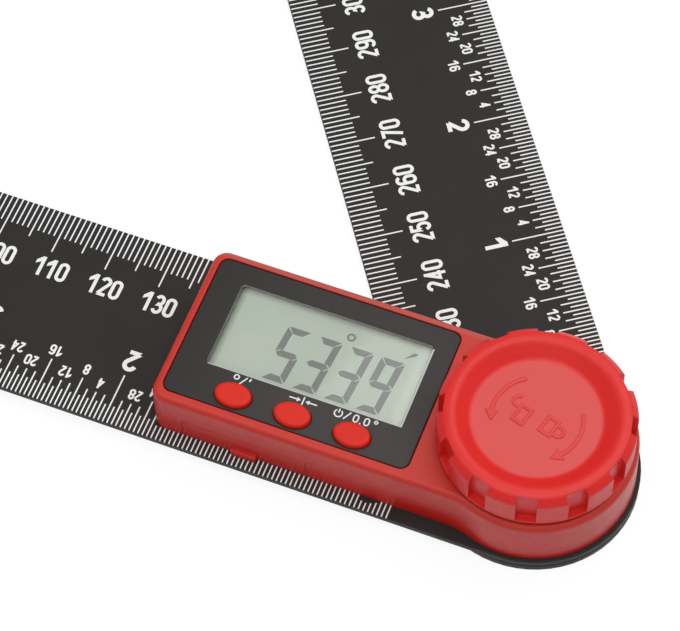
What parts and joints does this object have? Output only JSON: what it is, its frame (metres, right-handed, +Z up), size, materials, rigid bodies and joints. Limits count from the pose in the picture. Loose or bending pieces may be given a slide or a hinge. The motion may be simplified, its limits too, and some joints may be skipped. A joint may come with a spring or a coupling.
{
  "type": "digital angle finder",
  "caption": "Digital angle finder: printed rule arms on a lockable pivot, with a display housing and buttons on the fixed arm.",
  "frame": {"origin": "on the pivot axis, level with the underside of the lower (swing) arm, which is the plane the tool lies on", "axes": "+Z up along the pivot axis, out of the knob; -X along the fixed arm from the pivot; -Y towards the edge of the fixed arm that has the inch scale and the battery tray"},
  "size_m": [0.218, 0.191, 0.0208],
  "materials": {
    "arm_black": "matt, printed white",
    "housing_red": "satin",
    "panel_charcoal": "matt",
    "inner_black": "matt",
    "window_clear": "clear",
    "display_grey": "satin",
    "strip_rubber": "matt",
    "board_green": "satin",
    "chip_black": "matt",
    "steel": "brushed",
    "spring_steel": "bright",
    "brass": "turned",
    "washer_white": "matt",
    "flex_amber": "satin"
  },
  "bodies": {
    "base": {"base_arm": "arm_black", "pivot_bush": "brass", "friction_washer": "washer_white", "sensor_stator": "board_green", "flex_cable": "flex_amber", "back_plate": "inner_black", "housing_shell": "housing_red", "housing_screws": "steel", "front_panel": "panel_charcoal", "window_lens": "window_clear", "display_glass": "display_grey", "display_holder": "washer_white", "contact_strips": "strip_rubber", "main_board": "board_green", "board_screws": "steel", "control_chip": "chip_black", "switch_domes": "spring_steel", "top_contact": "spring_steel", "rim_contact": "spring_steel", "thrust_washer": "washer_white"},
    "swing": {"swing_arm": "arm_black", "pivot_hub": "steel", "disc_spring": "spring_steel", "sensor_rotor": "board_green", "rotor_clip": "spring_steel"},
    "tray": {"battery_tray": "housing_red", "coin_cell": "steel"},
    "knob": {"lock_knob": "housing_red", "knob_insert": "brass"},
    "button_1_cap": {"button_1": "housing_red"},
    "button_2_cap": {"button_2": "housing_red"},
    "button_3_cap": {"button_3": "housing_red"}
  },
  "joints": [
    {"name": "swing_turn", "type": "hinge", "parent": "base", "child": "swing", "pos_m": [0, 0, 0], "axis": [0, 0, 1], "continuous": true},
    {"name": "knob_turn", "type": "hinge", "parent": "base", "child": "knob", "pos_m": [0, 0, 0.014], "axis": [0, 0, 1], "range_deg": [-90, 90]},
    {"name": "tray_slide", "type": "slide", "parent": "base", "child": "tray", "axis": [0, -1, 0], "range_m": [0, 0.022]},
    {"name": "button_1_press", "type": "slide", "parent": "base", "child": "button_1_cap", "axis": [0, 0, -1], "range_m": [0, 0.0005], "stiffness_N_per_m": 1500},
    {"name": "button_2_press", "type": "slide", "parent": "base", "child": "button_2_cap", "axis": [0, 0, -1], "range_m": [0, 0.0005], "stiffness_N_per_m": 1500},
    {"name": "button_3_press", "type": "slide", "parent": "base", "child": "button_3_cap", "axis": [0, 0, -1], "range_m": [0, 0.0005], "stiffness_N_per_m": 1500}
  ]
}
